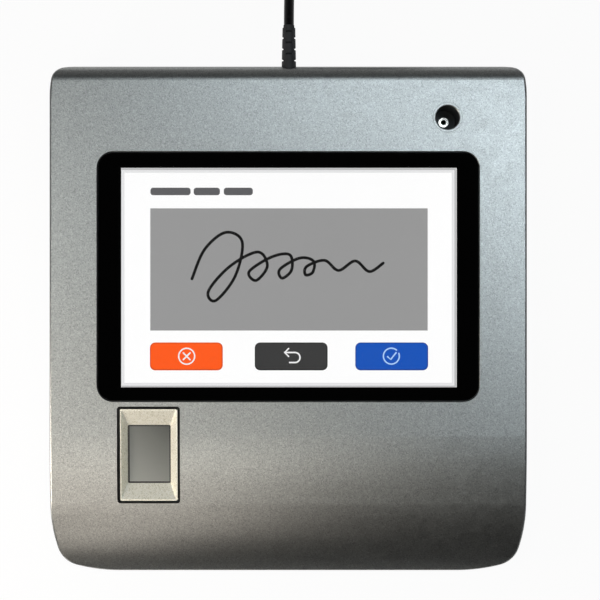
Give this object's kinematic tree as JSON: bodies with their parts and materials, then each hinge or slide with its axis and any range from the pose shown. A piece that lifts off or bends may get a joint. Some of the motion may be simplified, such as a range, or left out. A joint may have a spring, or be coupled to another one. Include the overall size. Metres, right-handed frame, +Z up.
{
  "type": "signature pad",
  "caption": "Wedge-shaped counter signature pad with a pen display under flush glass, a recessed fingerprint reader, a pen well and a captive cable with a plug.",
  "frame": {"origin": "on the table under the middle of the case, feet on z = 0", "axes": "+Z up from the table, +Y towards the rear wall where the cable leaves, +X to the right of a person signing"},
  "size_m": [0.2053, 0.2968, 0.034],
  "materials": {
    "case_paint": "satin silver-grey metallic paint over moulded plastic",
    "base_plastic": "fine matte texture",
    "rubber": "matte",
    "steel": "zinc plated",
    "cover_glass": "polished",
    "black_film": "printed black",
    "display": "polarised panel",
    "backlight_white": "white moulding",
    "circuit_board": "solder mask",
    "reader_paint": "satin metallic paint",
    "reader_glass": "coated grey glass",
    "black_plastic": "fine matte",
    "nickel": "polished",
    "chip_black": "moulded",
    "capacitor_can": "satin",
    "connector_ivory": "moulded",
    "ribbon_film": "amber film",
    "cable_jacket": "glossy black jacket",
    "relief_rubber": "matte soft moulding",
    "tie_strap": "flat tie"
  },
  "bodies": {
    "root": {"top_cover": "case_paint", "bottom_cover": "base_plastic", "front_left_foot": "rubber", "front_right_foot": "rubber", "rear_left_foot": "rubber", "rear_right_foot": "rubber", "case_screws": "steel", "touch_glass": "cover_glass", "border_film": "black_film", "glass_tape": "black_film", "display_gasket": "black_film", "display_panel": "display", "display_driver": "chip_black", "backlight": "backlight_white", "digitizer_board": "circuit_board", "shield_plate": "steel", "display_bracket": "steel", "bracket_screws": "steel", "fingerprint_bezel": "reader_paint", "fingerprint_prism": "reader_glass", "fingerprint_housing": "black_plastic", "fingerprint_board": "circuit_board", "fingerprint_strap": "steel", "strap_screws": "steel", "reader_socket": "connector_ivory", "pen_well": "black_plastic", "well_eyelet": "nickel", "main_board": "circuit_board", "board_screws": "steel", "board_chips": "chip_black", "board_capacitors": "capacitor_can", "shield_can": "steel", "display_socket": "connector_ivory", "digitizer_socket": "connector_ivory", "fingerprint_socket": "connector_ivory", "cable_header": "connector_ivory", "display_flex": "ribbon_film", "digitizer_flex": "ribbon_film", "fingerprint_lead": "ribbon_film", "strain_relief": "relief_rubber", "cable_tail": "cable_jacket", "usb_cable": "cable_jacket", "usb_cable_end": "cable_jacket", "cable_coil": "cable_jacket", "coil_ties": "tie_strap", "usb_plug_body": "cable_jacket", "usb_plug_shell": "nickel", "usb_plug_tongue": "black_plastic"}
  },
  "joints": []
}
